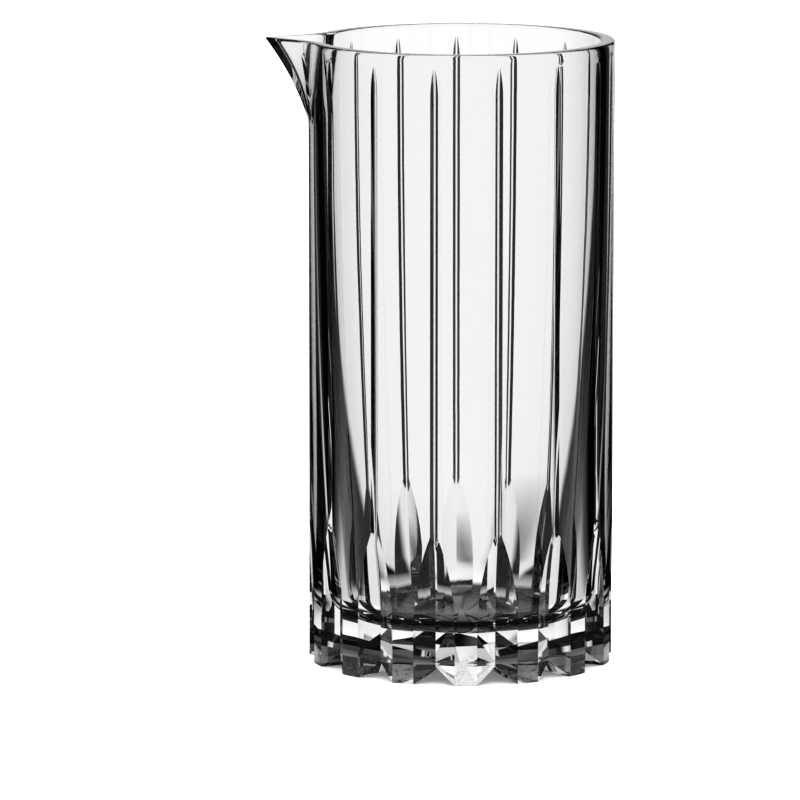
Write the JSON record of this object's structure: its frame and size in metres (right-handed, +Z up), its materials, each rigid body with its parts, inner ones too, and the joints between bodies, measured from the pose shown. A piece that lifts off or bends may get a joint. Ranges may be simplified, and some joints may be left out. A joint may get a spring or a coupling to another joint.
{
  "type": "mixing glass",
  "caption": "Straight-sided crystal bar mixing glass with a pouring spout, narrow vertical flutes, wedge cuts above the foot and a thick star-cut base.",
  "frame": {"origin": "on the glass's axis, at the plane that it stands on", "axes": "+Z up along the glass's axis, -X towards the spout, +Y completes the right-handed frame"},
  "size_m": [0.0982, 0.086, 0.176],
  "materials": {
    "clear_crystal": "polished clear crystal"
  },
  "bodies": {
    "root": {"star_cut_base": "clear_crystal", "fluted_wall": "clear_crystal", "pouring_spout": "clear_crystal"}
  },
  "joints": []
}
